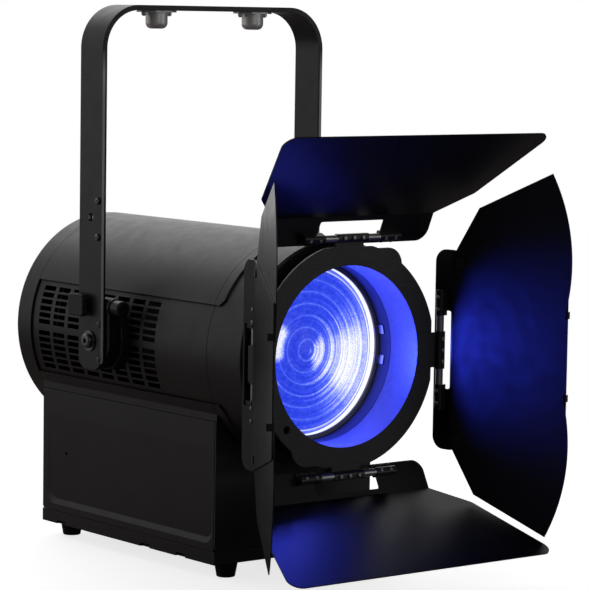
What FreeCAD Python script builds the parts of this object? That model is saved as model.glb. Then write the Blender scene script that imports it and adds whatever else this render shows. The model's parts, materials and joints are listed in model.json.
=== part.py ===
import FreeCAD, Part
import math
import os

# LED fresnel spotlight, 200 mm lens class, in millimetres.
# +Z is up and z = 0 is the underside of the feet. The light shines along -Y.
# Every Y below is measured from the tilt axis; the finished model is moved along Y once,
# by ORIGIN_SHIFT, so that the origin lies under the middle of the whole object.

Vector = FreeCAD.Vector

# ---- driving dimensions ----
ORIGIN_SHIFT = 111.57
AXIS_Z = 256.0            # height of the optical axis, which is also the tilt axis
FOOT_HEIGHT = 16.5
BARREL_R = 131.5          # outside of the top cover, lower trims and rear bezel
RECESS = 2.4              # the side vents and the front bezel lie this much lower
SHEET = 1.8               # thickness of the housing sheet
SEAM = 0.6                # gap between neighbouring housing pieces
SIDE_HALF = 56.0          # the side vent recess reaches this far above and below the axis
BASE_TOP = -76.0          # top of the base box, from the axis
BASE_HALF = 112.7         # half width of the base box
BODY_REAR = 169.0
BODY_FRONT = -186.0
BEZEL_STEP = -202.0       # the raised bands of the front bezel end here
BEZEL_FRONT = -249.0
REAR_END = 199.0
PAN_HEIGHT = 15.0
LENS_R = 101.5
LENS_Y = -205.0           # rim of the lens
TUBE_R = 102.0            # bore of the tube in front of the lens
TUBE_SEAM = -229.0
YOKE_HALF = 160.0
YOKE_WIDTH = 45.0
YOKE_T = 6.0
YOKE_TOP = 387.0          # top of the yoke bar above the tilt axis
YOKE_BEND = 50.0
YOKE_END = 33.0           # the arms end this far below the tilt axis
RECEPTACLE_X = 70.0
RING_R = 127.0
RING_FLAT = 122.5         # the ring's four flats, from the optical axis
RING_FRONT = -276.4
RING_T = 3.0
HINGE_R = 133.0           # distance of the door hinges from the optical axis
HINGE_Y = -279.4
HINGE_OFFSET = 7.0        # the door flanges lie this far outside their hinge axis
HINGE_ROD_R = 3.0
LEAF_T = 1.5
LEAF_REACH = 137.0        # of a side door's leaf, from its bend
FINGER_TABS = (-47.0, 47.0)
BLOCK_HALF = 21.5
SLEEVE_LENGTH = 18.0
BRACKET_LENGTH = 29.0
SLOT_HALF = 45.0
EAR_T = 1.2
EAR_GAP = 0.4
EAR_PIVOT = (9.0, 101.0)  # out along the leaf from its bend, and up from its middle
FIT = 0.06                # radial running clearance of a pin in its hole
CLAMP_X = 147.0           # the clamp's draw bolt, from the middle and above the tilt axis
CLAMP_Z = 40.0
KNOB_Y = 14.5             # the lock knob's axis, behind and above the tilt axis
KNOB_Z = 41.0
KNOB_SCREW_END = 152.3    # its screw reaches in to this distance from the middle
CARRIAGE_Y = -60.0        # front of the LED carriage
ROD_OFFSET = 71.0
SCREW_OFFSET = 65.0
FILTER_R = 112.0          # dust filter behind the rear grille
FOOT_X = 87.0             # feet, from the middle
FAN_Z = -15.0             # the rear fan's middle, from the axis
BUTTON_X = (-14.0, -34.0, -54.0, -74.0)
PANEL_ROW_Z = -160.0      # display and buttons, from the axis
SOCKET_ROW_Z = -199.5     # power and data sockets, from the axis

OUT = Vector(1, 0, 0)
ALONG = Vector(0, 0, 1)
FORWARD = Vector(0, -1, 0)
SIDES = (-1, 1)

# name: (turn about the optical axis, flange angle, leaf angle), the angles leaning
# outward from straight ahead at rest
DOORS = {
    "right": (0, 10.5, 29.0),
    "top": (90, 66.0, 38.5),
    "left": (180, 10.5, 29.0),
    "bottom": (270, 63.0, 23.5),
}


# ---- shapes ----
def box(x, y, z):
    """Box between the pairs x, y and z; z is measured from the axis height."""
    corner = Vector(x[0], y[0], z[0] + AXIS_Z)
    return Part.makeBox(x[1] - x[0], y[1] - y[0], z[1] - z[0], corner)


def rod(radius, start, end):
    """Cylinder between two points, whose z is measured from the axis height."""
    start = Vector(*start) + Vector(0, 0, AXIS_Z)
    end = Vector(*end) + Vector(0, 0, AXIS_Z)
    return Part.makeCylinder(radius, (end - start).Length, start, end - start)


def disc(radius, y_front, y_rear):
    return rod(radius, (0, y_front, 0), (0, y_rear, 0))


def ring(outer, inner, y_front, y_rear):
    return disc(outer, y_front, y_rear).cut(disc(inner, y_front - 1, y_rear + 1))


def join(shapes):
    shapes = list(shapes)
    if len(shapes) == 1:
        return shapes[0]
    return shapes[0].multiFuse(shapes[1:]).removeSplitter()


def group(shapes):
    return Part.makeCompound(list(shapes))


def mirrored(shape):
    """The same shape on the other side, across X."""
    return shape.mirror(Vector(0, 0, 0), Vector(1, 0, 0))


def both(shape):
    return group([shape, mirrored(shape)])


def turned(shape, angle):
    """The shape turned about the optical axis, from +X towards +Z."""
    copy = shape.copy()
    copy.rotate(Vector(0, 0, AXIS_Z), FORWARD, angle)
    return copy


def rounded_wire(corners, origin, u_dir, v_dir):
    """Closed wire through (u, v, corner radius) in the plane of origin, u_dir and v_dir."""
    count = len(corners)
    bends = []
    for i in range(count):
        here = Vector(corners[i][0], corners[i][1], 0)
        radius = corners[i][2]
        to_last = (Vector(*corners[i - 1][:2], 0) - here).normalize()
        to_next = (Vector(*corners[(i + 1) % count][:2], 0) - here).normalize()
        if radius == 0:
            bends.append((here, None, here))
            continue
        half = to_last.getAngle(to_next) / 2
        reach = radius / math.tan(half)
        centre = here + (to_last + to_next).normalize() * (radius / math.sin(half))
        middle = centre + (here - centre).normalize() * radius
        bends.append((here + to_last * reach, middle, here + to_next * reach))

    def place(point):
        return origin + u_dir * point.x + v_dir * point.y

    edges = []
    for i in range(count):
        entry, middle, leave = bends[i]
        if middle is not None:
            edges.append(Part.Arc(place(entry), place(middle), place(leave)).toShape())
        following = bends[(i + 1) % count][0]
        if (following - leave).Length > 0.001:
            edges.append(Part.LineSegment(place(leave), place(following)).toShape())
    return Part.Wire(edges)


def plate(corners, origin, u_dir, v_dir, depth):
    """Flat plate with rounded corners, extruded by the vector depth."""
    return Part.Face(rounded_wire(corners, origin, u_dir, v_dir)).extrude(depth)


def rectangle(u, v, radius):
    return [(u[0], v[0], radius), (u[1], v[0], radius), (u[1], v[1], radius), (u[0], v[1], radius)]


def side_plate(corners, x, thickness):
    """Plate in the Y-Z plane at x, thickness along +X; corners are (y, z from the axis, radius)."""
    origin = Vector(x, 0, AXIS_Z)
    return plate(corners, origin, Vector(0, 1, 0), ALONG, Vector(thickness, 0, 0))


def face_plate(corners, y, thickness):
    """Plate in the X-Z plane at y, thickness along +Y; corners are (x, z from the axis, radius)."""
    origin = Vector(0, y, AXIS_Z)
    return plate(corners, origin, OUT, ALONG, Vector(0, thickness, 0))


def screw(head_r, head_h, shank_r, length, point, direction):
    """Button-head screw: its head stands on point, and its shank goes back from it."""
    direction = Vector(*direction)
    point = Vector(*point) + Vector(0, 0, AXIS_Z)
    head = Part.makeCylinder(head_r, head_h, point, direction)
    rim = [edge for edge in head.Edges if (edge.CenterOfMass - point).dot(direction) > head_h * 0.9]
    head = head.makeFillet(head_h * 0.6, rim)
    socket = Part.makeCylinder(shank_r * 0.6, head_h, point + direction * head_h * 0.45, direction)
    shank = Part.makeCylinder(shank_r, length, point, direction * -1)
    return head.fuse(shank).cut(socket)


def drilled(shape, fasteners):
    """The shape with a hole wherever one of the fasteners passes through it."""
    box_of = shape.BoundBox
    for fastener in fasteners.Solids:
        if fastener.BoundBox.intersect(box_of):
            shape = shape.cut(fastener)
    return shape


# ---- base ----
def make_base_pan():
    half = BASE_HALF - 0.2
    bottom = FOOT_HEIGHT - AXIS_Z
    tray = box((-half, half), (BODY_FRONT + 3, BODY_REAR), (bottom, bottom + PAN_HEIGHT))
    inside = box((-half + SHEET, half - SHEET), (BODY_FRONT + 3 + SHEET, BODY_REAR - SHEET),
                 (bottom + SHEET, bottom + PAN_HEIGHT + 1))
    tray = tray.cut(inside)
    for y in (128, -48, -118):
        notch = box((-half - 1, half + 1), (y - 9, y + 9), (bottom - 1, bottom + 4))
        tray = tray.cut(notch.cut(box((-half + 3, half - 3), (y - 9, y + 9), (bottom - 1, bottom + 4))))
    return tray


def base_bottom():
    return FOOT_HEIGHT - AXIS_Z + PAN_HEIGHT + SEAM


def make_base_side_panels():
    """Side sheets with a pressed recess that is deepest at the bottom and fades out at the top."""
    low = base_bottom()
    y_front = BODY_FRONT + 5
    y_rear = BODY_REAR - 2.5
    panel = side_plate(rectangle((y_front, y_rear), (low, BASE_TOP - SEAM), 1.0), -BASE_HALF, 2.6)
    fold = BASE_TOP - 31

    def recess_wire(depth):
        lean = depth / 2.0
        front = y_front + 2 + 5.5 * lean
        rear = y_rear - 7.5 - 11.5 * lean
        foot = low + 8 + 6.5 * lean
        bend = 15 - 3.5 * depth
        corners = [(front, foot, bend), (rear, foot, bend), (rear, fold, 0), (front, fold, 0)]
        return rounded_wire(corners, Vector(depth - BASE_HALF, 0, AXIS_Z), Vector(0, 1, 0), ALONG)

    pocket = Part.makeLoft([recess_wire(-1.0), recess_wire(3.0)], True, True)
    slope = side_plate(rectangle((y_front - 5, y_rear + 5), (low - 20, fold), 0), -BASE_HALF - 6, 6)
    slope.rotate(Vector(-BASE_HALF, 0, AXIS_Z + fold), Vector(0, 1, 0), -1.15)
    panel = panel.cut(pocket.common(slope))
    panel = panel.cut(rod(2.0, (-BASE_HALF - 5, 119, -152), (-BASE_HALF + 5, 119, -152)))
    return both(panel)


def make_base_front_panel():
    low = base_bottom()
    half = BASE_HALF - 0.2
    front = BODY_FRONT + 2.2
    corners = [(-half, low, 4), (half, low, 4), (half, BASE_TOP - SEAM, 2), (-half, BASE_TOP - SEAM, 2)]
    return face_plate(corners, front, 2.2)


def make_base_rear_panel():
    low = base_bottom()
    half = BASE_HALF - 0.4
    panel = face_plate(rectangle((-half, half), (low, BASE_TOP - SEAM), 3), BODY_REAR - 2, 2)
    frame = face_plate(rectangle((-half + 7, half - 7), (low + 5, low + 86), 6), BODY_REAR - 0.5, 3.0)
    hollow = face_plate(rectangle((-half + 10, half - 10), (low + 8, low + 83), 4), BODY_REAR, 4)
    panel = panel.fuse(frame.cut(hollow)).removeSplitter()
    holes = [face_plate(rectangle((18, 78), (PANEL_ROW_Z - 16, PANEL_ROW_Z + 16), 2), BODY_REAR - 4, 8)]
    holes += [rod(4.7, (x, BODY_REAR - 4, PANEL_ROW_Z), (x, BODY_REAR + 4, PANEL_ROW_Z)) for x in BUTTON_X]
    holes += [rod(11.6, (x, BODY_REAR - 4, SOCKET_ROW_Z), (x, BODY_REAR + 4, SOCKET_ROW_Z))
              for x in (-75, -35, 35, 75)]
    return panel.cut(group(holes))


def make_rubber_feet():
    feet = []
    for x in (-FOOT_X, FOOT_X):
        for y in (BODY_FRONT + 15, BODY_REAR - 26):
            foot = Part.makeCone(10.5, 13.5, FOOT_HEIGHT, Vector(x, y, 0))
            foot = foot.makeFillet(1.5, [e for e in foot.Edges if e.CenterOfMass.z < 0.5 and e.Closed])
            feet.append(foot.cut(Part.makeCylinder(4.5, 7, Vector(x, y, -0.5))))
    return group(feet)


# ---- barrel ----
def make_top_cover():
    shell = ring(BARREL_R, BARREL_R - SHEET, BODY_FRONT + SEAM, BODY_REAR)
    return shell.common(box((-200, 200), (-300, 300), (SIDE_HALF, 200)))


def make_lower_trims():
    """The strips below the vents: the barrel's curve turns into the upright base side."""
    turn_z = -math.sqrt(BARREL_R ** 2 - BASE_HALF ** 2)
    shell = ring(BARREL_R, BARREL_R - SHEET, BODY_FRONT + SEAM, BODY_REAR)
    curve = shell.common(box((-200, 0), (-300, 300), (turn_z, -SIDE_HALF)))
    upright = box((-BASE_HALF, -BASE_HALF + SHEET), (BODY_FRONT + SEAM, BODY_REAR), (BASE_TOP, turn_z + 0.4))
    return both(curve.fuse(upright).removeSplitter())


def make_side_vents():
    """Side panels with eight columns of louvre slots, in two groups of six rows."""
    outer = BARREL_R - RECESS
    shell = ring(outer, outer - SHEET, BODY_FRONT + SEAM, BODY_REAR)
    shell = shell.common(box((-200, 0), (-300, 300), (-SIDE_HALF - 4, SIDE_HALF + 4)))
    slots = []
    for column in range(8):
        y = 143 - 31 * column
        for row in range(6):
            z = 6.8 + 8.0 * row
            for sign in SIDES:
                slots.append(box((-140, -90), (y - 12, y + 12), (sign * z - 2.7, sign * z + 2.7)))
    hub_hole = rod(36.5, (-140, 0, 0), (-90, 0, 0))
    return both(shell.cut(group(slots)).cut(hub_hole))


def make_rear_bezel():
    shell = ring(BARREL_R, BARREL_R - 3, BODY_REAR + SEAM, REAR_END)
    rim = [e for e in shell.Edges if abs(e.CenterOfMass.y - REAR_END) < 0.1 and e.Length > 800]
    shell = shell.makeFillet(1.2, rim)
    lip = ring(BARREL_R - 2.9, BARREL_R - 9, REAR_END - 14, REAR_END - 11.5)
    return shell.fuse(lip).removeSplitter()


def make_rear_grille():
    """Round rear plate with curved vent slots in front of the fan."""
    y = REAR_END - 17
    face = disc(BARREL_R - 3.3, y, y + 2.6)
    slots = []
    for k in range(5):
        inner = 22 + 16 * k
        arc = ring(inner + 8, inner, y - 1, y + 4)
        for angle in (0, 60, 120):
            bar = box((-200, 200), (y - 2, y + 5), (-4, 4))
            arc = arc.cut(turned(bar, angle))
        slots.append(arc)
    return face.cut(group(slots))


def make_dust_filter():
    """Foam disc between the fan and the rear grille."""
    return disc(FILTER_R, REAR_END - 21.1, REAR_END - 17.1)


def make_front_bezel():
    """Front ring of the barrel, with raised bands that carry on the cover and the trims."""
    outer = BARREL_R - RECESS
    inner = outer - 3.2
    shell = ring(outer, inner, BEZEL_FRONT, BODY_FRONT)
    shell = shell.fuse(ring(outer - 1, TUBE_R + 5.5, BEZEL_FRONT, BEZEL_FRONT + 3)).removeSplitter()
    rim = [e for e in shell.Edges if abs(e.CenterOfMass.y - BEZEL_FRONT) < 0.1 and e.Length > 750]
    shell = shell.makeFillet(2.5, rim)
    band = ring(BARREL_R, outer - 1, BEZEL_STEP, BODY_FRONT)
    rim = [e for e in band.Edges if e.Length > 824 and e.CenterOfMass.y < BEZEL_STEP + 1]
    band = band.makeChamfer(1.2, rim)
    cuts = [box((-200, 200), (BEZEL_STEP - 1, BODY_FRONT + 1), (-SIDE_HALF, SIDE_HALF))]
    for z in (-SIDE_HALF, SIDE_HALF):
        corner = box((-200, 200), (BEZEL_STEP - 5, BEZEL_STEP + 5), (-5, 5))
        corner.rotate(Vector(0, BEZEL_STEP, AXIS_Z), OUT, 45)
        corner.translate(Vector(0, 0, z))
        cuts.append(corner)
    return shell.fuse(band.cut(group(cuts))).removeSplitter()


# ---- lens ----
def make_lens_tube():
    """Tube between the lens and the rotating ring, hung from the front bulkhead."""
    tube = ring(TUBE_R + 2, TUBE_R, TUBE_SEAM + SEAM / 2, LENS_Y + 14)
    seat = ring(TUBE_R + 2, LENS_R - 5, LENS_Y + 12, LENS_Y + 14)
    foot = ring(TUBE_R + 14, TUBE_R, LENS_Y + 14, LENS_Y + 16)
    return tube.fuse([seat, foot]).removeSplitter()


def make_lens_ring():
    return ring(TUBE_R - 0.1, TUBE_R - 4.5, LENS_Y - 3.2, LENS_Y - 0.2)


def make_fresnel_lens():
    """Flat-backed lens whose front is stepped into rings, with a domed middle."""
    back = LENS_Y + 11.5
    face = LENS_Y + 5.5
    dome_r = 30.0
    steps = 7
    pitch = (LENS_R - 4 - dome_r) / steps
    profile = [Vector(0, back, 0), Vector(LENS_R, back, 0), Vector(LENS_R, LENS_Y, 0),
               Vector(LENS_R - 4, LENS_Y, 0)]
    for k in range(steps):
        outer = LENS_R - 4 - pitch * k
        profile.append(Vector(outer, face + 1.5, 0))
        profile.append(Vector(outer - pitch, face - 3.0, 0))
    edges = [Part.LineSegment(a, b).toShape() for a, b in zip(profile, profile[1:])]
    rim = Vector(dome_r, face + 1.0, 0)
    edges.append(Part.LineSegment(profile[-1], rim).toShape())
    crown = Vector(0, face - 4.5, 0)
    sag = rim.y - crown.y
    bulge_r = (dome_r ** 2 + sag ** 2) / (2 * sag)
    half_angle = math.asin(dome_r / bulge_r) / 2
    middle = Vector(bulge_r * math.sin(half_angle), crown.y + bulge_r * (1 - math.cos(half_angle)), 0)
    edges.append(Part.Arc(rim, middle, crown).toShape())
    edges.append(Part.LineSegment(crown, profile[0]).toShape())
    lens = Part.Face(Part.Wire(edges)).revolve(Vector(0, 0, 0), Vector(0, 1, 0), 360)
    lens.translate(Vector(0, 0, AXIS_Z))
    return lens


def make_lens_clips():
    """Four spring clips screwed to the tube, holding the lens ring."""
    clips = []
    for angle in (-9, 11, 171, 189):
        clip = box((TUBE_R - 6.5, TUBE_R - 0.15), (LENS_Y - 5.0, LENS_Y - 3.3), (-5, 5))
        leg = box((TUBE_R - 1.6, TUBE_R - 0.15), (LENS_Y - 14, LENS_Y - 4.9), (-5, 5))
        clip = clip.fuse(leg).common(disc(TUBE_R - 0.1, -300, 0)).removeSplitter()
        clips.append(turned(clip, angle))
    return group(clips)


# ---- accessory holder ----
def make_accessory_brackets():
    """Four channel brackets on the bezel; the accessory plate slides in behind their lips."""
    outer = 122.5
    brackets = []
    for angle in (21, 159, 201, 339):
        foot = box((109, outer), (BEZEL_FRONT - 2.2, BEZEL_FRONT - 0.05), (-13, 13))
        web = box((outer - 1.8, outer), (BEZEL_FRONT - 18.0, BEZEL_FRONT - 0.05), (-13, 13))
        lip = box((114.5, outer), (BEZEL_FRONT - 18.0, BEZEL_FRONT - 16.2), (-13, 13))
        bracket = foot.fuse([web, lip]).removeSplitter()
        brackets.append(turned(bracket, angle))
    return group(brackets)


def make_accessory_plate():
    """Frame of the barn doors that sits in the brackets; the door ring turns in its bore."""
    y_front = BEZEL_FRONT - 15.8
    return ring(120.0, TUBE_R + 2.6, y_front, y_front + 2.0)


# ---- inside ----
def make_bulkheads():
    front = disc(BARREL_R - RECESS - SHEET - 0.6, BODY_FRONT + 6, BODY_FRONT + 8)
    front = front.fuse(box((-100, 100), (BODY_FRONT + 6, BODY_FRONT + 8), (-236, -60))).removeSplitter()
    front = front.cut(disc(LENS_R - 6, -300, 0))
    rear = disc(BARREL_R - RECESS - SHEET - 0.6, 118, 120)
    rear = rear.fuse(box((-100, 100), (118, 120), (-236, -60))).removeSplitter()
    window = rod(44, (0, 100, FAN_Z), (0, 140, FAN_Z))
    screw_hole = rod(4.2, (SCREW_OFFSET, 100, SCREW_OFFSET), (SCREW_OFFSET, 140, SCREW_OFFSET))
    rear = rear.cut(window).cut(screw_hole)
    return group([front, rear])


def rod_places():
    return ((-ROD_OFFSET, ROD_OFFSET), (ROD_OFFSET, -ROD_OFFSET))


def make_guide_rods():
    return group(rod(4, (x, BODY_FRONT + 8, z), (x, 118, z)) for x, z in rod_places())


def make_zoom_carriage():
    """Round plate that slides on the two guide rods, with bushes and the screw's nut."""
    y = CARRIAGE_Y
    body = disc(108, y, y + 4)
    for x, z in rod_places():
        body = body.fuse(rod(9, (x, y, z), (x, y + 28, z)))
    body = body.fuse(rod(9, (SCREW_OFFSET, y, SCREW_OFFSET), (SCREW_OFFSET, y + 16, SCREW_OFFSET)))
    holes = [rod(4 + FIT, (x, y - 1, z), (x, y + 40, z)) for x, z in rod_places()]
    holes.append(rod(4 + FIT, (SCREW_OFFSET, y - 1, SCREW_OFFSET), (SCREW_OFFSET, y + 40, SCREW_OFFSET)))
    return body.removeSplitter().cut(group(holes))


def make_heat_sink():
    """Finned block behind the LED board; its fins stand in the fan's air."""
    y = CARRIAGE_Y + 4
    base = disc(76, y, y + 8)
    fins = [box((x - 0.8, x + 0.8), (y + 7.5, y + 78), (-70, 70)) for x in range(-72, 73, 8)]
    fins = group(fins).common(disc(76, y, y + 80))
    return join([base] + fins.Solids)


def make_led_board():
    board = disc(40, CARRIAGE_Y - 2.0, CARRIAGE_Y)
    emitter = disc(24, CARRIAGE_Y - 3.5, CARRIAGE_Y - 1.9)
    return board.fuse(emitter).removeSplitter()


def make_light_mixer():
    """Conical reflector in front of the LEDs."""
    y = CARRIAGE_Y
    outer = Part.makeCone(46, 33, 32, Vector(0, y - 34, AXIS_Z), Vector(0, 1, 0))
    inner = Part.makeCone(44, 31, 34, Vector(0, y - 35, AXIS_Z), Vector(0, 1, 0))
    return outer.cut(inner).fuse(ring(38, 31, y - 4.5, y - 2.0)).removeSplitter()


def make_lead_screw():
    x = SCREW_OFFSET
    return rod(4, (x, BODY_FRONT + 14, x), (x, 132, x))


def make_zoom_motor():
    x = SCREW_OFFSET
    body = box((x - 21, x + 21), (120, 158), (x - 21, x + 21))
    body = body.makeChamfer(4, [e for e in body.Edges if abs(e.Length - 38) < 0.1])
    return body.cut(rod(4 + FIT, (x, 110, x), (x, 133, x)))


def make_fan_frame():
    y = 124.0
    frame = face_plate(rectangle((-46, 46), (FAN_Z - 46, FAN_Z + 46), 5), y, 25)
    bore = rod(43.5, (0, y - 1, FAN_Z), (0, y + 26, FAN_Z))
    frame = frame.cut(bore)
    hub = rod(17, (0, y + 21, FAN_Z), (0, y + 25, FAN_Z))
    pin = rod(2.5, (0, y + 4, FAN_Z), (0, y + 22, FAN_Z))
    struts = []
    for angle in (45, 135):
        strut = box((-45, 45), (y + 21.5, y + 25), (-2, 2))
        strut.rotate(Vector(0, 0, AXIS_Z), Vector(0, 1, 0), angle)
        strut.translate(Vector(0, 0, FAN_Z))
        struts.append(strut)
    return join([frame, hub, pin] + struts)


def make_fan_rotor():
    y = 124.0
    hub = rod(17, (0, y + 1.5, FAN_Z), (0, y + 20, FAN_Z))
    blades = []
    for k in range(7):
        blade = box((-8, 8), (y + 10, y + 11.4), (15.5, 42.5))
        blade.rotate(Vector(0, y + 10.7, AXIS_Z), ALONG, 32)
        blade.rotate(Vector(0, 0, AXIS_Z), Vector(0, 1, 0), k * 360 / 7)
        blade.translate(Vector(0, 0, FAN_Z))
        blades.append(blade)
    rotor = join([hub] + blades)
    rotor = rotor.common(rod(42.5, (0, y + 1.5, FAN_Z), (0, y + 20, FAN_Z)))
    return rotor.cut(rod(2.5 + FIT, (0, y, FAN_Z), (0, y + 30, FAN_Z)))


def make_power_supply():
    """Boxed supply on the base pan, with the driver board on top of it."""
    z = FOOT_HEIGHT - AXIS_Z + SHEET
    case = box((-85, 85), (-120, 60), (z + 4, z + 52))
    case = case.makeFillet(2, [e for e in case.Edges if abs(e.Length - 48) < 0.1])
    posts = [rod(5, (x, y, z), (x, y, z + 4)) for x in (-75, 75) for y in (-110, 50)]
    board = box((-75, 75), (-110, 50), (z + 58, z + 59.6))
    posts += [rod(3, (x, y, z + 52), (x, y, z + 58)) for x in (-65, 65) for y in (-100, 40)]
    return join([case, board] + posts)


# ---- rear panel ----
def make_display_window():
    outline = rectangle((18.2, 77.8), (PANEL_ROW_Z - 15.8, PANEL_ROW_Z + 15.8), 2)
    window = face_plate(outline, BODY_REAR - 3, 3.6)
    return window.makeFillet(0.3, [e for e in window.Edges if abs(e.CenterOfMass.y - BODY_REAR - 0.6) < 0.01])


def make_button(x):
    y = BODY_REAR
    cap = rod(4.5, (x, y - 6, PANEL_ROW_Z), (x, y + 3.4, PANEL_ROW_Z))
    rim = [e for e in cap.Edges if abs(e.CenterOfMass.y - y - 3.4) < 0.01 and e.Length > 20]
    cap = cap.makeFillet(0.8, rim)
    return cap.fuse(rod(6, (x, y - 7, PANEL_ROW_Z), (x, y - 4.6, PANEL_ROW_Z))).removeSplitter()


def socket(x, pin_count, pin_r):
    """Round locking chassis connector with its contacts at the bottom of the well."""
    z = SOCKET_ROW_Z
    y = BODY_REAR
    flange = face_plate(rectangle((x - 15, x + 15), (z - 15, z + 15), 3), y + 0.05, 2.4)
    body = rod(11.5, (x, y - 22, z), (x, y + 4.5, z))
    well = rod(9.2, (x, y - 10, z), (x, y + 6, z))
    shape = flange.fuse(body).cut(well)
    for k in range(pin_count):
        angle = math.radians(90 + 360 / pin_count * k)
        px = x + 5 * math.cos(angle)
        pz = z + 5 * math.sin(angle)
        shape = shape.fuse(rod(pin_r, (px, y - 10.5, pz), (px, y - 2, pz)))
    return shape.removeSplitter()


def make_rear_connectors():
    """Power in and out with three contacts each, data in and out with five."""
    return group([socket(-75, 3, 1.3), socket(-35, 3, 1.3), socket(35, 5, 0.8), socket(75, 5, 0.8)])


def make_case_screws():
    """Screws that hold the rear grille and the base's rear panel."""
    screws = []
    for k in range(6):
        angle = math.radians(60 * k + 30)
        point = (119 * math.cos(angle), REAR_END - 14.4, 119 * math.sin(angle))
        screws.append(screw(3.2, 1.8, 1.6, 3.5, point, (0, 1, 0)))
    low = base_bottom()
    for x in (-102, 102):
        for z in (low + 3.6, -100):
            screws.append(screw(3.2, 1.6, 1.6, 3.5, (x, BODY_REAR, z), (0, 1, 0)))
    return group(screws)


# ---- tilt hubs and yoke ----
def make_tilt_hubs():
    """Drum on each side of the housing, with the stub that the yoke clamps hold."""
    drum = rod(35, (-139, 0, 0), (-121, 0, 0))
    rim = [e for e in drum.Edges if abs(e.CenterOfMass.x + 139) < 0.1 and e.Length > 100]
    drum = drum.makeFillet(1.5, rim)
    stub = rod(20, (-152.5, 0, 0), (-138, 0, 0))
    hub = drum.fuse(stub).removeSplitter()
    return both(hub.cut(rod(5 + FIT, (-160, 0, 0), (-130, 0, 0))))


def make_yoke():
    half = YOKE_HALF
    inner = half - YOKE_T
    top = YOKE_TOP
    outer_bow = [(-half, -YOKE_END, 0), (half, -YOKE_END, 0), (half, top, YOKE_BEND), (-half, top, YOKE_BEND)]
    inner_bow = [(-inner, -YOKE_END - 1, 0), (inner, -YOKE_END - 1, 0),
                 (inner, top - YOKE_T, YOKE_BEND - YOKE_T), (-inner, top - YOKE_T, YOKE_BEND - YOKE_T)]
    wide = YOKE_WIDTH / 2
    bow = face_plate(outer_bow, -wide, YOKE_WIDTH).cut(face_plate(inner_bow, -wide - 1, YOKE_WIDTH + 2))
    ends = [(-wide, -YOKE_END, 14), (wide, -YOKE_END, 14), (wide, top + 1, 0), (-wide, top + 1, 0)]
    bow = bow.common(side_plate(ends, -half - 1, 2 * half + 2))
    holes = [rod(5 + FIT, (-half - 1, 0, 0), (half + 1, 0, 0)),
             rod(5.0, (-half - 1, 0, 142.7), (half + 1, 0, 142.7)),
             rod(4 + FIT, (-half - 1, KNOB_Y, KNOB_Z), (half + 1, KNOB_Y, KNOB_Z)),
             rod(6.5, (0, 0, top - 20), (0, 0, top + 5))]
    for side in SIDES:
        holes.append(rod(8, (side * RECEPTACLE_X, 0, top - 20), (side * RECEPTACLE_X, 0, top + 5)))
    return bow.cut(group(holes))


def make_clamp_blocks():
    """Split block inside each arm; the draw bolt closes its slit on the hub's stub."""
    outline = [(-31, CLAMP_Z + 10, 3), (-31, -12, 24), (-12, -YOKE_END, 16), (12, -YOKE_END, 16),
               (31, -12, 24), (31, CLAMP_Z + 10, 3)]
    block = side_plate(outline, -YOKE_HALF + YOKE_T + 0.05, 14.2)
    bore = rod(20.1, (-160, 0, 0), (-130, 0, 0))
    slit = box((-160, -130), (-1, 1), (0, 60))
    bolt_hole = rod(4 + FIT, (-CLAMP_X, -60, CLAMP_Z), (-CLAMP_X, 60, CLAMP_Z))
    screw_pocket = rod(4 + FIT, (-160, KNOB_Y, KNOB_Z), (0.3 - KNOB_SCREW_END, KNOB_Y, KNOB_Z))
    return both(block.cut(bore).cut(slit).cut(bolt_hole).cut(screw_pocket))


def make_clamp_bolts():
    """Draw bolt of each clamp block, with the round cap nut at its front and its head behind."""
    y = -31.05
    cap = rod(9, (-CLAMP_X, y - 19, CLAMP_Z), (-CLAMP_X, y - 2, CLAMP_Z))
    rim = [e for e in cap.Edges if abs(e.CenterOfMass.y - y + 19) < 0.1 and e.Length > 40]
    cap = cap.makeFillet(2.5, rim)
    washer = rod(10.5, (-CLAMP_X, y - 2, CLAMP_Z), (-CLAMP_X, y, CLAMP_Z))
    bolt_end = y - 11
    bore = rod(4, (-CLAMP_X, bolt_end, CLAMP_Z), (-CLAMP_X, y + 1, CLAMP_Z))
    bolt = rod(4, (-CLAMP_X, bolt_end, CLAMP_Z), (-CLAMP_X, 31.05, CLAMP_Z))
    head = rod(7, (-CLAMP_X, 31.05, CLAMP_Z), (-CLAMP_X, 36, CLAMP_Z))
    nut = cap.fuse(washer).removeSplitter().cut(bore)
    return both(group([nut, bolt.fuse(head).removeSplitter()]))


def make_lock_knob():
    """Hand knob outside the right arm; its screw goes through the arm into the clamp block."""
    half_y = 15.5
    half_z = 13.0
    start = YOKE_HALF + 4.5
    thickness = 6.5
    groove_r = 2.6
    rim = rectangle((KNOB_Y - half_y, KNOB_Y + half_y), (KNOB_Z - half_z, KNOB_Z + half_z), 6)
    grip = side_plate(rim, start, thickness)
    front = [e for e in grip.Edges if abs(e.CenterOfMass.x - start - thickness) < 0.01]
    grip = grip.makeFillet(1.5, front)
    places = [(offset, side * (half_z + 1.6)) for side in SIDES for offset in (-6.5, 0, 6.5)]
    places += [(side * (half_y + 1.6), offset) for side in SIDES for offset in (-4, 4)]
    for y, z in places:
        low = (start - 1, KNOB_Y + y, KNOB_Z + z)
        grip = grip.cut(rod(groove_r, low, (start + thickness + 1, low[1], low[2])))
    hub = rod(9, (YOKE_HALF + 0.3, KNOB_Y, KNOB_Z), (start + 1, KNOB_Y, KNOB_Z))
    screw_shank = rod(4, (KNOB_SCREW_END, KNOB_Y, KNOB_Z), (start + 1, KNOB_Y, KNOB_Z))
    return grip.fuse([hub, screw_shank]).removeSplitter()


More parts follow.
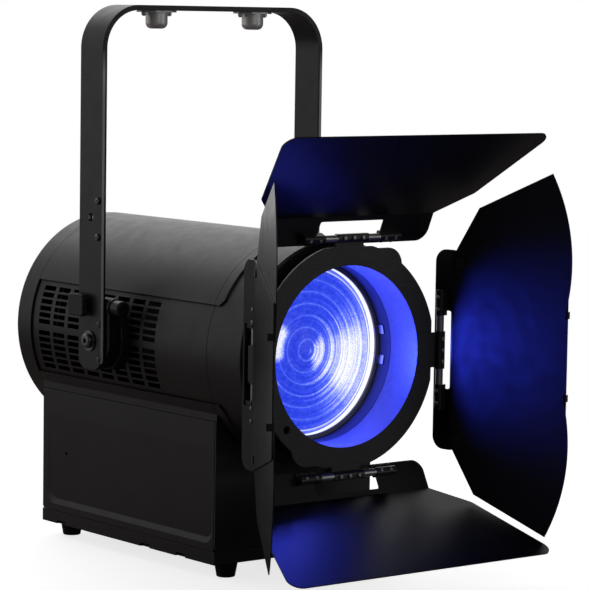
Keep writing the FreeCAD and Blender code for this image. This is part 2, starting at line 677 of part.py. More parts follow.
def make_yoke_fasteners():
    """Each arm's pivot bolt with its washer, its clamp block screws and its two stop rivets."""
    x = -YOKE_HALF
    washer = rod(12, (x - 2.0, 0, 0), (x - 0.05, 0, 0))
    pivot_bolt = screw(8.5, 5, 5, 24, (x - 2.0, 0, 0), (-1, 0, 0))
    parts = [washer.fuse(pivot_bolt).removeSplitter()]
    parts += [screw(3.2, 1.8, 2, 5.9, (x, -18.7, z), (-1, 0, 0)) for z in (-20.5, 20.5)]
    parts += [screw(4.2, 3.0, 2, 5.9, (x, -15.7, z), (-1, 0, 0)) for z in (120.6, 162.5)]
    return group(parts + [mirrored(p) for p in parts])


def make_receptacles():
    """Quarter-turn sockets under the yoke bar: a riveted flange plate with a round-bottomed cup."""
    solids = []
    top = YOKE_TOP - YOKE_T - 0.05
    depth = 21.0
    rivet_at = 18.0
    for side in SIDES:
        x = side * RECEPTACLE_X
        origin = Vector(x, 0, AXIS_Z + top - 2.0)
        lugs = [(-25, -6, 5), (-12, -15, 5), (12, -15, 5), (25, -6, 5),
                (25, 6, 5), (12, 15, 5), (-12, 15, 5), (-25, 6, 5)]
        flange = plate(lugs, origin, OUT, Vector(0, 1, 0), Vector(0, 0, 2.0))
        cup = rod(13.0, (x, 0, top - depth), (x, 0, top - 1))
        base = [e for e in cup.Edges if e.CenterOfMass.z < AXIS_Z + top - depth + 1 and e.Length > 60]
        shape = flange.fuse(cup.makeFillet(7.0, base)).removeSplitter()
        shape = shape.cut(rod(8, (x, 0, top - 13), (x, 0, top + 1)))
        for lug in SIDES:
            rx = x + lug * rivet_at
            shape = shape.cut(rod(1.6, (rx, 0, top - 5), (rx, 0, top + 1)))
            solids.append(screw(3.0, 4.5, 1.6, 4, (rx, 0, top - 2.05), (0, 0, -1)))
        solids.append(shape)
    return group(solids)


# ---- barn doors ----
def make_door_ring():
    """Turning ring: a flat plate with four hinge seats and two shoulders, and its tube."""
    back = RING_FRONT + RING_T
    face = disc(RING_R, RING_FRONT, back)
    face = face.common(box((-RING_FLAT, RING_FLAT), (-300, 0), (-RING_FLAT, RING_FLAT)))
    seat = face_plate(rectangle((100, HINGE_R + 4.5), (-20, 20), 1.5), RING_FRONT, RING_T)
    shoulder = face_plate([(60, 0, 0), (119.8, 0, 0), (119.8, -76.5, 20), (60, -76.5, 0)], RING_FRONT, RING_T)
    face = face.fuse([turned(seat, angle) for angle in (0, 90, 180, 270)])
    face = face.fuse([turned(shoulder, angle) for angle in (90, 270)])
    face = face.removeSplitter()
    tube = ring(TUBE_R + 2, TUBE_R, back - 0.5, TUBE_SEAM - SEAM / 2)
    shape = face.cut(disc(TUBE_R, -300, 0)).fuse(tube).removeSplitter()
    hole_angle = math.radians(222)
    hx = 114 * math.cos(hole_angle)
    hz = 114 * math.sin(hole_angle)
    shape = shape.cut(rod(4.5, (hx, -300, hz), (hx, -200, hz)))
    plate_front = BEZEL_FRONT - 15.8
    collars = [ring(TUBE_R + 6, TUBE_R + 2.05, plate_front - 2.3, plate_front - 0.3),
               ring(TUBE_R + 6, TUBE_R + 2.05, plate_front + 2.3, plate_front + 4.3)]
    return group([shape] + collars)


def hinge_point():
    return Vector(HINGE_R, HINGE_Y, AXIS_Z)


def make_hinge_blocks():
    """Block on each lug that grips the middle of the hinge rod, with its three screws."""
    y_back = RING_FRONT - 0.05
    profile = [(-4.6, y_back - HINGE_Y, 0), (5.0, y_back - HINGE_Y, 0), (5.0, -4.4, 2), (-4.6, -4.4, 4)]
    solids = []
    for angle in (0, 90, 180, 270):
        origin = hinge_point() - ALONG * BLOCK_HALF
        block = plate(profile, origin, OUT, Vector(0, 1, 0), ALONG * (2 * BLOCK_HALF))
        block = block.cut(rod(HINGE_ROD_R + 0.02, (HINGE_R, HINGE_Y, -30), (HINGE_R, HINGE_Y, 30)))
        solids.append(turned(block, angle))
        for z in (-13, 0, 13):
            head = rod(2.4, (HINGE_R + 0.4, HINGE_Y - 5.7, z), (HINGE_R + 0.4, HINGE_Y - 4.45, z))
            solids.append(turned(head, angle))
    return group(solids)


def make_hinge_rods():
    reach = BLOCK_HALF + SLEEVE_LENGTH + BRACKET_LENGTH + 0.5
    bar = rod(HINGE_ROD_R, (HINGE_R, HINGE_Y, -reach), (HINGE_R, HINGE_Y, reach))
    return group(turned(bar, angle) for angle in (0, 90, 180, 270))


def make_hinge_sleeves():
    solids = []
    for angle in (0, 90, 180, 270):
        for side in SIDES:
            start = side * (BLOCK_HALF + 0.2)
            end = side * (BLOCK_HALF + SLEEVE_LENGTH - 0.2)
            sleeve = rod(4.2, (HINGE_R, HINGE_Y, start), (HINGE_R, HINGE_Y, end))
            sleeve = sleeve.cut(rod(HINGE_ROD_R + 0.02, (HINGE_R, HINGE_Y, -60), (HINGE_R, HINGE_Y, 60)))
            solids.append(turned(sleeve, angle))
    return group(solids)


def directions(angle):
    """Unit vectors along a leaf that leans outward by angle, and square to it, outward."""
    lean = math.radians(angle)
    along_leaf = OUT * math.sin(lean) + FORWARD * math.cos(lean)
    normal = OUT * math.cos(lean) - FORWARD * math.sin(lean)
    return along_leaf, normal


def flange_sizes(name):
    """Free edge, bend and half length of a door's flange, from the hinge axis."""
    if name in ("top", "bottom"):
        return -11.0, 24.5, 116.0
    return -13.0, 12.5, 115.0


def bend_point(name):
    turn, flange_angle, leaf_angle = DOORS[name]
    along_leaf, normal = directions(flange_angle)
    return hinge_point() + normal * HINGE_OFFSET + along_leaf * flange_sizes(name)[1]


def make_door(name):
    """Bent leaf: a flange with a slot round the hinge block, and the wide panel."""
    turn, flange_angle, leaf_angle = DOORS[name]
    edge, bend, half = flange_sizes(name)
    d_flange, n_flange = directions(flange_angle)
    origin = hinge_point() + n_flange * (HINGE_OFFSET - LEAF_T / 2)
    corners = [(edge, -half, 15), (bend, -half, 0), (bend, half, 0), (edge, half, 15)]
    flange = plate(corners, origin, d_flange, ALONG, n_flange * LEAF_T)
    d_leaf, n_leaf = directions(leaf_angle)
    bend_at = bend_point(name)
    origin_leaf = bend_at - n_leaf * (LEAF_T / 2)
    if name in ("top", "bottom"):
        corners = [(0, -half, 0), (37, -152, 10), (150, -190, 14),
                   (150, 190, 14), (37, 152, 10), (0, half, 0)]
    else:
        corners = [(0, -half, 0), (LEAF_REACH, -81, 6), (LEAF_REACH, 81, 6), (0, half, 0)]
    leaf = plate(corners, origin_leaf, d_leaf, ALONG, n_leaf * LEAF_T)
    if name in ("left", "right"):
        for along in FINGER_TABS:
            tab = rectangle((LEAF_REACH - LEAF_T, LEAF_REACH), (along - 4, along + 4), 0.3)
            leaf = leaf.fuse(plate(tab, origin_leaf, d_leaf, ALONG, n_leaf * (LEAF_T + 6)))
    fold = Part.makeCylinder(LEAF_T / 2, 2 * half, bend_at - ALONG * half, ALONG)
    shape = flange.fuse([leaf, fold]).removeSplitter()
    slot_end = 18.0 if name in ("top", "bottom") else bend - 2.0
    slot_start = edge + 3.5
    slot = plate(rectangle((slot_start, slot_end), (-SLOT_HALF, SLOT_HALF), 2.5),
                 origin - n_flange, d_flange, ALONG, n_flange * (LEAF_T + 2))
    shape = shape.cut(slot)
    if name in ("left", "right"):
        for side in SIDES:
            centre = bend_at + d_leaf * EAR_PIVOT[0] + ALONG * (side * EAR_PIVOT[1]) - n_leaf * 5
            shape = shape.cut(Part.makeCylinder(2.5, 10, centre, n_leaf))
    return turned(shape, turn)


def make_door_brackets(name):
    """The door's two hinge brackets with their screws, and the ear rivets of a side door."""
    turn, flange_angle, leaf_angle = DOORS[name]
    d_flange, n_flange = directions(flange_angle)
    axis_at = hinge_point()
    inner = HINGE_OFFSET - LEAF_T / 2 - 0.05
    tail = -9.6
    solids = []
    for side in SIDES:
        start = BLOCK_HALF + SLEEVE_LENGTH + 0.2
        base = axis_at + ALONG * (start if side > 0 else -start - BRACKET_LENGTH + 0.4)
        length = ALONG * (BRACKET_LENGTH - 0.4)
        wall = [(tail, inner, 0), (tail, inner - 2.6, 1), (-4.7, inner - 2.6, 0), (-4.7, -4.4, 3.5),
                (4.7, -4.4, 3.5), (4.7, inner, 0)]
        bracket = plate(wall, base, d_flange, n_flange, length)
        hole = Part.makeCylinder(HINGE_ROD_R + FIT, 200, axis_at - ALONG * 100, ALONG)
        bracket = bracket.cut(hole)
        solids.append(bracket)
        for z in (7.0, 21.0):
            point = base + ALONG * z + d_flange * (tail + 2.4) + n_flange * (inner - 2.65)
            head = Part.makeCylinder(2.1, 1.3, point, n_flange * -1)
            solids.append(head)
    if name in ("left", "right"):
        d_leaf, n_leaf = directions(leaf_angle)
        for side in SIDES:
            centre = bend_point(name) + d_leaf * EAR_PIVOT[0] + ALONG * (side * EAR_PIVOT[1])
            inner_face = LEAF_T / 2 + EAR_GAP * 2 + EAR_T
            start = centre - n_leaf * (inner_face + 0.5)
            pin = Part.makeCylinder(2.44, inner_face + LEAF_T / 2 + 1, start, n_leaf)
            head = Part.makeCylinder(4.6, 1.6, centre - n_leaf * (inner_face + 1.6), n_leaf)
            back = Part.makeCylinder(4.6, 1.2, centre + n_leaf * (LEAF_T / 2 + 0.05), n_leaf)
            solids.append(join([pin, head, back]))
    return turned(group(solids), turn)


def make_ear(name, side):
    """Swivelling wing on a side door, with a kinked inner edge and a bowed outer edge."""
    turn, flange_angle, leaf_angle = DOORS[name]
    d_leaf, n_leaf = directions(leaf_angle)
    origin = bend_point(name) - n_leaf * (LEAF_T / 2 + EAR_GAP + EAR_T)
    up = ALONG * side

    def at(out, along):
        return origin + d_leaf * out + up * along

    bottom = at(3, 86)
    lower = at(134, 42)
    hip = at(135, 52)
    bow = at(140.5, 116)
    tip = at(116, 206)
    shoulder = at(30, 164)
    root = at(3, 114)
    edges = [Part.LineSegment(bottom, lower), Part.LineSegment(lower, hip), Part.Arc(hip, bow, tip),
             Part.LineSegment(tip, shoulder), Part.LineSegment(shoulder, root), Part.LineSegment(root, bottom)]
    ear = Part.Face(Part.Wire([edge.toShape() for edge in edges])).extrude(n_leaf * EAR_T)
    pivot = at(*EAR_PIVOT) - n_leaf * 5
    ear = ear.cut(Part.makeCylinder(2.5, 10, pivot, n_leaf))
    return turned(ear, turn)


# ---- assembly ----
def make_all():
    shapes = {
        "base_pan": make_base_pan(),
        "base_side_panels": make_base_side_panels(),
        "base_front_panel": make_base_front_panel(),
        "base_rear_panel": make_base_rear_panel(),
        "rubber_feet": make_rubber_feet(),
        "lower_trims": make_lower_trims(),
        "side_vents": make_side_vents(),
        "top_cover": make_top_cover(),
        "rear_bezel": make_rear_bezel(),
        "rear_grille": make_rear_grille(),
        "dust_filter": make_dust_filter(),
        "front_bezel": make_front_bezel(),
        "lens_tube": make_lens_tube(),
        "lens_ring": make_lens_ring(),
        "fresnel_lens": make_fresnel_lens(),
        "lens_clips": make_lens_clips(),
        "accessory_brackets": make_accessory_brackets(),
        "accessory_plate": make_accessory_plate(),
        "bulkheads": make_bulkheads(),
        "guide_rods": make_guide_rods(),
        "zoom_motor": make_zoom_motor(),
        "fan_frame": make_fan_frame(),
        "power_supply": make_power_supply(),
        "display_window": make_display_window(),
        "rear_connectors": make_rear_connectors(),
        "tilt_hubs": make_tilt_hubs(),
        "case_screws": make_case_screws(),
        "zoom_carriage": make_zoom_carriage(),
        "heat_sink": make_heat_sink(),
        "led_board": make_led_board(),
        "light_mixer": make_light_mixer(),
        "lead_screw": make_lead_screw(),
        "fan_rotor": make_fan_rotor(),
        "yoke": make_yoke(),
        "clamp_blocks": make_clamp_blocks(),
        "clamp_bolts": make_clamp_bolts(),
        "yoke_fasteners": make_yoke_fasteners(),
        "quick_lock_receptacles": make_receptacles(),
        "lock_knob_left": mirrored(make_lock_knob()),
        "lock_knob_right": make_lock_knob(),
        "door_ring": make_door_ring(),
        "hinge_blocks": make_hinge_blocks(),
        "hinge_rods": make_hinge_rods(),
        "hinge_sleeves": make_hinge_sleeves(),
    }
    for number, name in enumerate(("menu", "down", "up", "enter")):
        shapes["button_" + name] = make_button(BUTTON_X[number])
    for name in DOORS:
        shapes["door_" + name] = make_door(name)
        shapes["door_" + name + "_brackets"] = make_door_brackets(name)
    for name in ("left", "right"):
        shapes["ear_" + name + "_upper"] = make_ear(name, 1)
        shapes["ear_" + name + "_lower"] = make_ear(name, -1)
    for name in ("rear_grille", "base_rear_panel"):
        shapes[name] = drilled(shapes[name], shapes["case_screws"])
    for name in ("yoke", "clamp_blocks"):
        shapes[name] = drilled(shapes[name], shapes["yoke_fasteners"])
    shapes["yoke"] = drilled(shapes["yoke"], shapes["quick_lock_receptacles"])
    return shapes


os.makedirs("parts", exist_ok=True)
whole = FreeCAD.BoundBox()
for node, shape in make_all().items():
    shape.translate(Vector(0, ORIGIN_SHIFT, 0))
    whole.add(shape.BoundBox)
    shape.exportStep("parts/" + node + ".step")
print("box", whole)
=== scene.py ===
import json
import math

import bmesh
import bpy
from mathutils import Matrix, Vector


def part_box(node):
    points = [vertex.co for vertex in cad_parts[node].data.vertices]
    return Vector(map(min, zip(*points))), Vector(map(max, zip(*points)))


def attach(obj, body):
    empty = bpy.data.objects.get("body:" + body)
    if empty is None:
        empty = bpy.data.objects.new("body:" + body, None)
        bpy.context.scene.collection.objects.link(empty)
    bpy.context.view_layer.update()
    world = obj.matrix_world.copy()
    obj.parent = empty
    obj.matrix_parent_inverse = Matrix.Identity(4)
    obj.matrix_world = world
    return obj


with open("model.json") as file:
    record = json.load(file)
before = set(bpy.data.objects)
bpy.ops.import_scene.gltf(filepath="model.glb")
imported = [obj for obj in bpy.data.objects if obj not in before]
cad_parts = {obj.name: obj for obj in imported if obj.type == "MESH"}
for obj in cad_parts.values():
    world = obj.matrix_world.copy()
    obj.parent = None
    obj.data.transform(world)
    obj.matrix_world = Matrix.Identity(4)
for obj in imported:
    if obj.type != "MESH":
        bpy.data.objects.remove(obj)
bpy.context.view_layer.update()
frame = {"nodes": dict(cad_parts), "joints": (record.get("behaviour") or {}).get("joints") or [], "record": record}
nodes = frame["nodes"]
scene = bpy.context.scene

# Lengths are in metres. X is across the lamp, and the lens faces -Y.
AXIS_HEIGHT = 0.256          # the optical axis above the floor
LENS_RADIUS = 0.1015
RING_BORE_LIMIT = 0.112      # the turning ring's bores are all nearer to the axis than this
COARSE_STEPS = 7.5           # the lens's steps along one radius
MIDDLE_STEPS = 17.0
FINE_STEPS = 38.0
YOKE_BEND = 0.05             # outer radius of the yoke's bends
EDGE_HIGHLIGHT_WIDTH = 0.0034           # width of the painted highlight band on the yoke's cut edges

SCREW_SEGMENTS = 24
SCREW_PROFILE = [(1.0, 0.0), (1.0, 0.35), (0.93, 0.7), (0.74, 0.95), (0.55, 1.0)]
SOCKET_WIDTH = 0.4           # half width across the hexagon's flats, in head radii
SOCKET_FLOOR = 0.35          # height of the socket's floor, in head heights
DOOR_SCREW = (0.0022, 0.0012)     # head radius and height
BLOCK_SCREW = (0.0024, 0.0007)
DOOR_SCREW_REACH = (0.0467, 0.0607)    # from the middle of a hinge, along its axis
BLOCK_SCREW_REACH = (-0.013, 0, 0.013)
FLANGE_ANGLES = {"right": 10.5, "left": 10.5, "top": 66.0, "bottom": 63.0}   # degrees from forward

FLOOR_HALF = 1.1
CAMERA_ANGLES = (-38.21, 5.59, 0.89)   # azimuth, elevation and roll in degrees
CAMERA_PLACE = (-1.98289, -2.58681, 0.63045)
CAMERA_LENS = 172.5          # millimetres on a 36 mm sensor
BEAM_BLUE = (0.03, 0.05, 1.0)


# ---- shader helpers ----
class Shader:
    """A node material that is built step by step."""

    def __init__(self, name):
        self.material = bpy.data.materials.new(name)
        self.material.use_nodes = True
        self.tree = self.material.node_tree
        self.bsdf = self.tree.nodes["Principled BSDF"]
        self.place = self.add("ShaderNodeTexCoord").outputs["Object"]

    def add(self, kind, **settings):
        made = self.tree.nodes.new(kind)
        for key, value in settings.items():
            setattr(made, key, value)
        return made

    def link(self, source, target):
        self.tree.links.new(source, target)

    def split(self, source):
        """The X, Y and Z sockets of a vector."""
        made = self.add("ShaderNodeSeparateXYZ")
        self.link(source, made.inputs[0])
        return made.outputs["X"], made.outputs["Y"], made.outputs["Z"]

    def face_normal(self):
        return self.add("ShaderNodeTexCoord").outputs["Normal"]

    def length(self, a, b):
        return self.math("SQRT", self.math("ADD", self.math("MULTIPLY", a, a), self.math("MULTIPLY", b, b)))

    def math(self, operation, a, b=0.0, clamp=False):
        made = self.add("ShaderNodeMath", operation=operation, use_clamp=clamp)
        for socket, value in zip(made.inputs, (a, b)):
            if isinstance(value, (int, float)):
                socket.default_value = value
            else:
                self.link(value, socket)
        return made.outputs[0]

    def noise(self, scale, detail=3.0, roughness=0.5, stretch=None):
        made = self.add("ShaderNodeTexNoise")
        made.inputs["Scale"].default_value = scale
        made.inputs["Detail"].default_value = detail
        made.inputs["Roughness"].default_value = roughness
        source = self.place
        if stretch:
            mapping = self.add("ShaderNodeMapping")
            mapping.inputs["Scale"].default_value = stretch
            self.link(source, mapping.inputs["Vector"])
            source = mapping.outputs[0]
        self.link(source, made.inputs["Vector"])
        return made.outputs["Fac"]

    def cells(self, scale, feature="F1"):
        made = self.add("ShaderNodeTexVoronoi", feature=feature)
        made.inputs["Scale"].default_value = scale
        self.link(self.place, made.inputs["Vector"])
        return made.outputs["Distance"]

    def ramp(self, source, stops):
        """Colour or grey level that follows source through (position, level) stops."""
        made = self.add("ShaderNodeValToRGB")
        elements = made.color_ramp.elements
        while len(elements) < len(stops):
            elements.new(0.5)
        for element, (position, colour) in zip(elements, stops):
            element.position = position
            if isinstance(colour, (int, float)):
                colour = (colour, colour, colour)
            element.color = (*colour, 1.0)
        self.link(source, made.inputs["Fac"])
        return made.outputs["Color"]

    def rough(self, source, low, high):
        """Roughness that follows source between two (position, level) stops."""
        self.link(self.ramp(source, [low, high]), self.bsdf.inputs["Roughness"])

    def bump(self, height, distance, strength=1.0, edge=0.0):
        """Surface relief, with edges that look rounded to the radius edge."""
        made = self.add("ShaderNodeBump")
        made.inputs["Strength"].default_value = strength
        made.inputs["Distance"].default_value = distance
        self.link(height, made.inputs["Height"])
        if edge:
            bevel = self.add("ShaderNodeBevel", samples=4)
            bevel.inputs["Radius"].default_value = edge
            self.link(bevel.outputs[0], made.inputs["Normal"])
        self.link(made.outputs[0], self.bsdf.inputs["Normal"])

    def set(self, **values):
        for key, value in values.items():
            self.bsdf.inputs[key.replace("_", " ")].default_value = value


def tinted(colour, factor):
    return tuple(c * factor for c in colour)


def powder_coat(name, colour, rough, grain=1500.0, depth=0.00006, edge=0.0005, specular=0.5):
    """Black paint with an orange-peel surface, faint cloudy variation and softened edges."""
    s = Shader(name)
    cloud = s.noise(14.0, 4.0)
    stops = [(0.3, tinted(colour, 0.82)), (0.7, tinted(colour, 1.2))]
    s.link(s.ramp(cloud, stops), s.bsdf.inputs["Base Color"])
    s.rough(s.noise(60.0, 5.0, 0.6), (0.25, rough - 0.05), (0.75, rough + 0.05))
    peel = s.math("ADD", s.noise(grain, 2.0), s.math("MULTIPLY", s.noise(grain * 0.3, 2.0), 0.6))
    s.bump(peel, depth, 0.5, edge)
    s.set(Specular_IOR_Level=specular)
    return s.material


def strip_with_painted_edge_light(name, colour, rough):
    """Painted steel strip with painted light on its cut faces: a painted highlight band along the outer corner of
    each arm's cut edge, and painted shade darkening the rest of each cut face.
    """
    s = Shader(name)
    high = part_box("yoke")[1]
    across, _, height = s.split(s.place)
    _, forward, _ = s.split(s.face_normal())
    cut = s.math("GREATER_THAN", s.math("ABSOLUTE", forward), 0.9)
    outer_band = s.math("GREATER_THAN", s.math("ABSOLUTE", across), high.x - EDGE_HIGHLIGHT_WIDTH)
    fade_length = 0.03     # the painted highlight fades out below each bend
    arms = s.math("DIVIDE", s.math("SUBTRACT", high.z - YOKE_BEND, height), fade_length, clamp=True)
    highlight_gain = 48.0        # the painted highlight is this many times brighter than the paint
    painted_highlight = s.math("MULTIPLY", s.math("MULTIPLY", outer_band, arms), highlight_gain)
    cloud = s.ramp(s.noise(14.0, 4.0), [(0.3, 0.82), (0.7, 1.2)])
    # painted highlight on the outer band of the arms, painted shade over the rest of each cut face
    painted_edge_light = s.math("ADD", s.math("MULTIPLY", painted_highlight, cloud), -0.75)
    shade = s.math("ADD", cloud, s.math("MULTIPLY", cut, painted_edge_light))
    tint = s.add("ShaderNodeVectorMath", operation="SCALE")
    tint.inputs[0].default_value = colour
    s.link(shade, tint.inputs["Scale"])
    s.link(tint.outputs[0], s.bsdf.inputs["Base Color"])
    s.rough(s.noise(60.0, 5.0, 0.6), (0.25, rough - 0.05), (0.75, rough + 0.05))
    s.bump(s.noise(1500.0, 2.0), 0.00006, 0.5, 0.0006)
    return s.material


def turning_ring(name):
    """Textured grey-black face, and a darker gritty bore."""
    s = Shader(name)
    across, _, above_floor = s.split(s.place)
    _, forward, _ = s.split(s.face_normal())
    radius = s.length(across, s.math("SUBTRACT", above_floor, AXIS_HEIGHT))
    face = s.math("MAXIMUM", s.math("GREATER_THAN", radius, RING_BORE_LIMIT),
                  s.math("GREATER_THAN", s.math("ABSOLUTE", forward), 0.5))
    grit = s.ramp(s.noise(420.0, 4.0, 0.85), [(0.4, 0.35), (0.66, 1.2)])
    shade = s.math("MAXIMUM", face, s.math("MULTIPLY", grit, 0.6))
    speck = s.ramp(s.noise(420.0, 4.0, 0.7), [(0.3, 0.022), (0.7, 0.05)])
    s.link(s.math("MULTIPLY", speck, shade), s.bsdf.inputs["Base Color"])
    s.set(Specular_IOR_Level=0.4)
    s.rough(s.noise(60.0, 5.0, 0.6), (0.25, 0.4), (0.75, 0.5))
    s.bump(s.math("ADD", s.noise(900.0, 2.0), s.noise(350.0, 2.0)), 0.00016, 0.6, 0.0009)
    return s.material


def moulded_plastic(name, colour, rough, grain=900.0, depth=0.0001):
    """Plastic with a spark-eroded grain."""
    s = Shader(name)
    pits = s.cells(grain)
    s.link(s.ramp(s.noise(30.0), [(0.3, tinted(colour, 0.8)), (0.7, tinted(colour, 1.25))]),
           s.bsdf.inputs["Base Color"])
    s.rough(pits, (0.1, rough - 0.06), (0.9, rough + 0.08))
    s.bump(pits, depth, 0.6, 0.0006)
    return s.material


def machined_metal(name, colour, rough, stretch=(40.0, 900.0, 900.0), depth=0.00003, edge=0.0003,
                   metallic=1.0):
    """Bare or plated metal with fine tool marks and a few darker stains."""
    s = Shader(name)
    marks = s.noise(1.0, 3.0, 0.6, stretch)
    stain = s.noise(35.0, 5.0, 0.6)
    s.link(s.ramp(stain, [(0.3, tinted(colour, 0.7)), (0.65, colour)]), s.bsdf.inputs["Base Color"])
    s.rough(marks, (0.2, rough - 0.07), (0.8, rough + 0.1))
    s.bump(marks, depth, 0.5, edge)
    s.set(Metallic=metallic)
    return s.material


def moulded_rubber(name):
    """Matt black rubber with a little dust."""
    s = Shader(name)
    dust = s.noise(80.0, 6.0, 0.7)
    s.link(s.ramp(dust, [(0.35, (0.008, 0.008, 0.008)), (0.75, (0.02, 0.02, 0.021))]),
           s.bsdf.inputs["Base Color"])
    s.rough(dust, (0.2, 0.75), (0.8, 0.92))
    s.bump(s.noise(1800.0, 2.0), 0.0001, 0.5, 0.0006)
    return s.material


def display_window(name):
    """A dark clear window over an unlit screen, with a faint pixel grid."""
    s = Shader(name)
    grid = s.noise(1.0, 0.0, 0.5, (2500.0, 1.0, 2500.0))
    s.link(s.ramp(grid, [(0.4, (0.004, 0.007, 0.012)), (0.6, (0.012, 0.02, 0.035))]),
           s.bsdf.inputs["Base Color"])
    s.rough(s.noise(120.0, 4.0), (0.3, 0.05), (0.8, 0.16))
    s.set(Coat_Weight=0.6, Coat_Roughness=0.04)
    return s.material


def lit_board(name):
    """Pale circuit board with small glowing dots."""
    s = Shader(name)
    s.link(s.ramp(s.noise(90.0), [(0.3, (0.55, 0.55, 0.5)), (0.7, (0.8, 0.8, 0.76))]),
           s.bsdf.inputs["Base Color"])
    dots = s.cells(260.0)
    s.link(s.ramp(dots, [(0.1, (0.35, 0.45, 1.0)), (0.5, (0.02, 0.04, 0.3))]), s.bsdf.inputs["Emission Color"])
    s.set(Emission_Strength=0.05, Roughness=0.5)
    s.bump(dots, 0.0002, 0.4)
    return s.material


def lit_lens(name):
    """Stepped glass that glows: blue all over, white where the steps catch the source."""
    s = Shader(name)
    sideways, depth, above_floor = s.split(s.place)
    across = s.math("DIVIDE", sideways, LENS_RADIUS)
    height = s.math("DIVIDE", s.math("SUBTRACT", above_floor, AXIS_HEIGHT), LENS_RADIUS)
    radius = s.length(across, height)
    wobble = s.math("MULTIPLY", s.noise(12.0, 2.0), 0.02)
    warped = s.math("ADD", radius, wobble)
    # facing is 1 towards the bright side of the lens, a little below its +X side, and -1 away from it
    lean = s.math("SUBTRACT", s.math("MULTIPLY", across, 0.97), s.math("MULTIPLY", height, 0.24))
    facing = s.math("DIVIDE", lean, s.math("MAXIMUM", radius, 0.05))
    # the steps, in three widths
    coarse = s.ramp(s.math("FRACT", s.math("MULTIPLY", warped, COARSE_STEPS)),
                    [(0.0, 1.0), (0.05, 0.3), (0.16, 0.02), (0.85, 0.03), (0.95, 0.5), (1.0, 1.0)])
    middle = s.ramp(s.math("FRACT", s.math("MULTIPLY", warped, MIDDLE_STEPS)),
                    [(0.0, 1.0), (0.12, 0.25), (0.4, 0.0), (0.8, 0.1), (1.0, 1.0)])
    fine = s.ramp(s.math("FRACT", s.math("MULTIPLY", warped, FINE_STEPS)), [(0.0, 1.0), (0.5, 0.0), (1.0, 1.0)])
    # the bright patches: the lamp's glow, and a painted highlight on the central dome
    crescent = s.math("MULTIPLY", s.ramp(facing, [(0.5, 0.0), (0.8, 0.3), (0.96, 1.0)]),
                      s.ramp(radius, [(0.25, 0.12), (0.42, 0.4), (0.55, 0.95), (0.78, 1.0), (0.9, 0.3)]))
    # painted highlight on the central dome, a reflection painted into the lens's emission
    painted_dome_highlight = s.math("MULTIPLY", s.ramp(facing, [(0.55, 0.0), (0.92, 0.8)]),
                  s.ramp(radius, [(0.08, 0.0), (0.16, 0.8), (0.24, 1.0), (0.3, 0.0)]))
    far_side = s.math("MULTIPLY", s.ramp(s.math("MULTIPLY", facing, -1.0), [(0.84, 0.0), (0.95, 1.0)]),
                      s.ramp(radius, [(0.3, 0.0), (0.35, 1.0), (0.47, 1.0), (0.53, 0.0)]))
    rim = s.ramp(radius, [(0.9, 0.0), (0.91, 0.7), (0.922, 0.0), (0.95, 0.05), (0.962, 1.0), (0.984, 1.0),
                          (0.992, 0.1)])
    # together, with a fine stipple over everything but the rim
    lines = s.math("MULTIPLY", coarse, s.ramp(facing, [(0.0, 0.3), (0.6, 0.42), (0.9, 0.8)]))
    lines = s.math("ADD", lines, s.math("MULTIPLY", middle, s.ramp(facing, [(0.2, 0.04), (0.75, 0.3)])))
    steps = s.math("ADD", s.math("MULTIPLY", fine, 0.5), s.math("ADD", s.math("MULTIPLY", middle, 0.5), 0.6))
    glow = s.math("MULTIPLY", s.math("ADD", crescent, painted_dome_highlight), steps)
    glow = s.math("ADD", glow, s.math("ADD", lines, far_side))
    stipple = s.ramp(s.cells(700.0), [(0.1, 1.25), (0.6, 0.65)])
    streaks = s.noise(170.0, 5.0, 0.8)
    glow = s.math("ADD", glow, s.math("MULTIPLY", s.ramp(streaks, [(0.45, 0.0), (0.75, 0.3)]), 0.6))
    glow = s.math("MULTIPLY", glow, stipple)
    glow = s.math("ADD", glow, rim, clamp=True)
    tint = s.ramp(glow, [(0.0, (0.017, 0.042, 0.72)), (0.25, (0.09, 0.15, 0.98)), (0.6, (0.5, 0.56, 1.0)),
                         (1.0, (1.0, 1.0, 1.0))])
    front_side = s.math("LESS_THAN", depth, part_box("fresnel_lens")[1].y - 0.002)
    s.link(tint, s.bsdf.inputs["Emission Color"])
    s.link(front_side, s.bsdf.inputs["Emission Strength"])
    s.link(s.ramp(streaks, [(0.2, (0.01, 0.01, 0.02)), (0.8, (0.02, 0.025, 0.04))]),
           s.bsdf.inputs["Base Color"])
    s.rough(streaks, (0.2, 0.16), (0.8, 0.32))
    s.set(IOR=1.5)
    s.bump(s.cells(700.0), 0.0002, 0.5)
    return s.material


